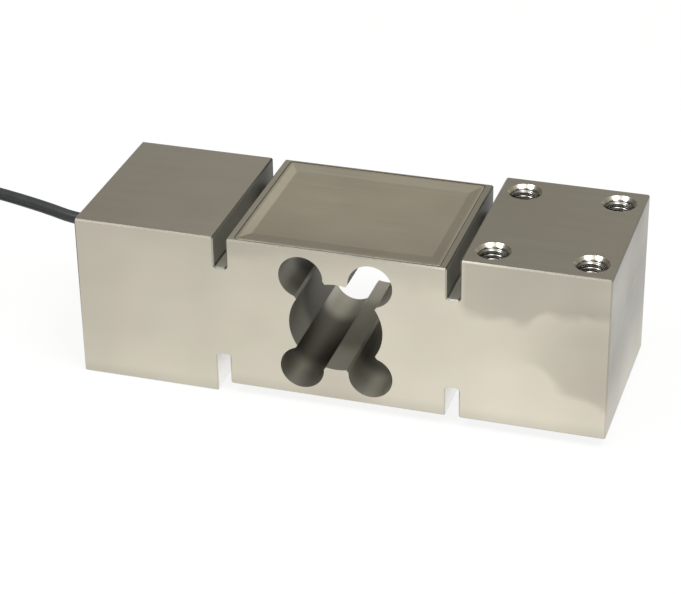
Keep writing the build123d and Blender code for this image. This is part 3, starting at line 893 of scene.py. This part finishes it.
def sleeve_surface(rows=44, sides=32):
    """A tube carried along an arc over the coil, from the sleeve's start to its end.

    Its radius is that of the sleeve, drawn in to the jacket at the start and to the leads at
    the end, with two faint waves along its length as wrinkles. A fan closes each end.
    """
    t = np.linspace(0, 1, rows)
    angle = sleeve_start + (sleeve_end - sleeve_start) * t
    radius = np.interp(t, *sleeve_outline.T) / 1000
    radius = radius + 0.00002 * np.sin(41 * t) + 0.000015 * np.sin(97 * t + 1)
    turn = np.radians(angle)
    outward = np.stack([np.cos(turn), np.sin(turn), np.zeros(rows)], -1)[:, None, :]
    middle = round_coil(angle, tail_radius, sleeve_center_z)
    skin = rings(middle, radius[:, None], outward, np.array([0.0, 0.0, 1.0]), sides)
    last_ring = 1 + (rows - 1) * sides
    return np.concatenate([middle[:1], skin, middle[-1:]]), [
        1 + grid_faces(rows, sides), end_fan(0, 1, sides),
        end_fan(last_ring + sides, last_ring, sides),
    ]


sleeve = solid_piece("shrunk_sleeve", [sleeve_surface()], crease=50.0)
shrink = Finish("shrunk_black_tubing", IOR=1.5)
shrink.mottle(
    shrink.noise(900.0, (1.0, 1.0, 0.4), detail=3.0),
    colors=((0.014, 0.014, 0.015), (0.026, 0.026, 0.028)),
    roughness=(0.28, 0.42), depth=0.00003,
)
shrink.put_on(sleeve)
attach(sleeve, "root")
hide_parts("end_sleeve")


# Tinned ends: each lead's last five millimetres are bared, twisted and tinned.
# The cable's shield is drawn out beside the cores as one more twisted, tinned wire.

lead_height = 0.0155
lead_places = (-2, -1, 1, 2)
tip_radius = 0.00032
tip_length = 0.005

# Angle in degrees of the last two points of each lead, and the leads' spacing there
lead_ends = ((150.0, 0.0016), (180.0, 0.0023))


def twisted_end(start, direction, rows=40, sides=36, strands=6, twist=9.0, tip=0.07):
    """A straight bundle of strands: a lobed section that turns as it goes along.

    The radius is the bundle's, less 0.16 of it where two strands meet, and it closes over the
    tip's share of the length to a point with a rounded end. The twist is in radians.
    """
    direction = direction / np.linalg.norm(direction)
    across = np.cross(direction, (0.0, 0.0, 1.0))
    across /= np.linalg.norm(across)
    t = np.linspace(0, 1, rows)[:, None]
    turn = (2 * np.pi * np.arange(sides) / sides)[None, :]
    lobes = 1 - 0.16 * (1 - np.abs(np.sin(strands / 2 * (turn - twist * t))))
    close = np.sqrt(np.clip(1 - np.clip((t - (1 - tip)) / tip, 0, 1) ** 2, 0, 1))
    middle = start + direction * tip_length * t
    skin = rings(middle, tip_radius * lobes * close, across, np.cross(across, direction), sides)
    return np.concatenate([start[None, :], skin]), [1 + grid_faces(rows, sides), end_fan(0, 1, sides)]


lead_tips = []
for place in lead_places:
    before, end = [
        round_coil(angle, tail_radius + place * spacing, lead_height) for angle, spacing in lead_ends
    ]
    lead_tips.append(twisted_end(end, end - before))
tips = solid_piece("twisted_lead_ends", lead_tips)
tinned = Finish("tinned_copper_strands", Metallic=1.0)
tinned.mottle(
    tinned.noise(1500.0, detail=3.0), colors=((0.58, 0.57, 0.54), (0.78, 0.77, 0.74)),
    roughness=(0.22, 0.36), depth=0.00002,
)
tinned.put_on(tips, nodes["end_lead_shield"])
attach(tips, "root")
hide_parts("end_lead_tips")


# Camera: the photograph's own viewpoint, in front of the beam, to its right and above it.
# A long lens with no shift, so the block's edges run as they do in the picture.

camera_place = Vector((0.165187, -0.540089, 0.337498))
camera_azimuth = math.radians(17.650)
camera_elevation = math.radians(29.300)
camera_roll = math.radians(-0.871)

forward = Vector((
    -math.sin(camera_azimuth) * math.cos(camera_elevation),
    math.cos(camera_azimuth) * math.cos(camera_elevation), -math.sin(camera_elevation),
))
level = forward.cross(Vector((0, 0, 1))).normalized()
drop = forward.cross(level)
right = level * math.cos(camera_roll) - drop * math.sin(camera_roll)
down = level * math.sin(camera_roll) + drop * math.cos(camera_roll)
lens = bpy.data.cameras.new("studio_camera")
lens.sensor_width = 36.0
lens.lens = 121.853
lens.clip_start = 0.01
camera = shown("studio_camera", lens)
camera.matrix_world = Matrix((
    (right.x, -down.x, -forward.x, camera_place.x),
    (right.y, -down.y, -forward.y, camera_place.y),
    (right.z, -down.z, -forward.z, camera_place.z),
    (0, 0, 0, 1),
))
bpy.context.scene.camera = camera
bpy.context.scene.view_settings.view_transform = "Standard"


# Floor: a wide sheet of white paper, which shows the object's soft shadow.
# Seen directly or in polished metal it glows faintly, as overlit paper does.

floor_reach = 4.0
glow_share = 0.86
floor_mesh = bpy.data.meshes.new("paper_floor")
floor_mesh.from_pydata(
    [(floor_reach * i, floor_reach * j, 0) for i, j in ((-1, -1), (1, -1), (1, 1), (-1, 1))],
    [], [(0, 1, 2, 3)],
)
floor = shown("paper_floor", floor_mesh)
paper = Finish("white_paper", Roughness=0.9)
paper_grain = paper.noise(60.0, detail=4.0)
paper.wire(Base_Color=paper.tones(paper_grain, (0.86, 0.86, 0.86), (0.885, 0.885, 0.885)))
rays = paper.tree.nodes.new("ShaderNodeLightPath")
seen = paper.maths("MAXIMUM", rays.outputs["Is Camera Ray"], rays.outputs["Is Glossy Ray"])
seen = paper.maths("MAXIMUM", seen, rays.outputs["Is Transmission Ray"])
glow = paper.add("Emission", {"Color": (1.0, 1.0, 1.0, 1.0), "Strength": 1.0})
mixed = paper.add("MixShader", {
    0: paper.maths("MULTIPLY", seen, glow_share), 1: paper.shader.outputs[0], 2: glow,
})
paper.tree.links.new(mixed, paper.tree.nodes["Material Output"].inputs["Surface"])
paper.put_on(floor)


# Studio: a pale horizon, darker walls that brighten to the right, and a soft light overhead.
# Two soft boxes in front and above give the paired glints in the screw holes.

lamp_distance = 1.1
lamp_aim = Vector((0, 0, 0.03))

# Colours of the walls by height, from straight down at 0 to straight up at 1
wall_tones = [
    (0.0, (0.9, 0.9, 0.9)), (0.49, (0.9, 0.9, 0.9)), (0.53, (0.62, 0.61, 0.59)),
    (0.60, (0.36, 0.345, 0.31)), (0.665, (0.27, 0.25, 0.215)), (0.74, (0.36, 0.335, 0.285)),
    (0.82, (0.375, 0.355, 0.31)), (0.90, (0.72, 0.71, 0.68)), (1.0, (1.0, 1.0, 0.98)),
]
world = bpy.data.worlds.new("studio")
bpy.context.scene.world = world
world.use_nodes = True
room = world.node_tree
background = room.nodes["Background"]
look = room.nodes.new("ShaderNodeTexCoord")
look_parts = room.nodes.new("ShaderNodeSeparateXYZ")
room.links.new(look.outputs["Generated"], look_parts.inputs[0])
elevation = room.nodes.new("ShaderNodeMapRange")
elevation.inputs["From Min"].default_value = -1.0
room.links.new(look_parts.outputs["Z"], elevation.inputs["Value"])
walls = room.nodes.new("ShaderNodeValToRGB")
room.links.new(elevation.outputs["Result"], walls.inputs["Fac"])
while len(walls.color_ramp.elements) < len(wall_tones):
    walls.color_ramp.elements.new(1.0)
for element, (position, tone_color) in zip(walls.color_ramp.elements, wall_tones):
    element.position = position
    element.color = (*tone_color, 1.0)
strength = room.nodes.new("ShaderNodeMapRange")
for socket, value in (("From Min", -0.65), ("From Max", 0.25), ("To Min", 0.43), ("To Max", 1.78)):
    strength.inputs[socket].default_value = value
room.links.new(look_parts.outputs["X"], strength.inputs["Value"])
room.links.new(walls.outputs["Color"], background.inputs["Color"])
room.links.new(strength.outputs["Result"], background.inputs["Strength"])

for name, toward, size, power in (
    ("right_soft_box", (0.433, -0.281, 0.856), 0.50, 5.0),
    ("left_soft_box", (-0.361, -0.406, 0.840), 0.42, 4.2),
):
    lamp_data = bpy.data.lights.new(name, "AREA")
    lamp_data.shape = "SQUARE"
    lamp_data.size = size
    lamp_data.energy = power
    lamp = shown(name, lamp_data)
    lamp.location = Vector(toward).normalized() * lamp_distance + lamp_aim
    lamp.rotation_euler = Vector(toward).to_track_quat("Z", "Y").to_euler()
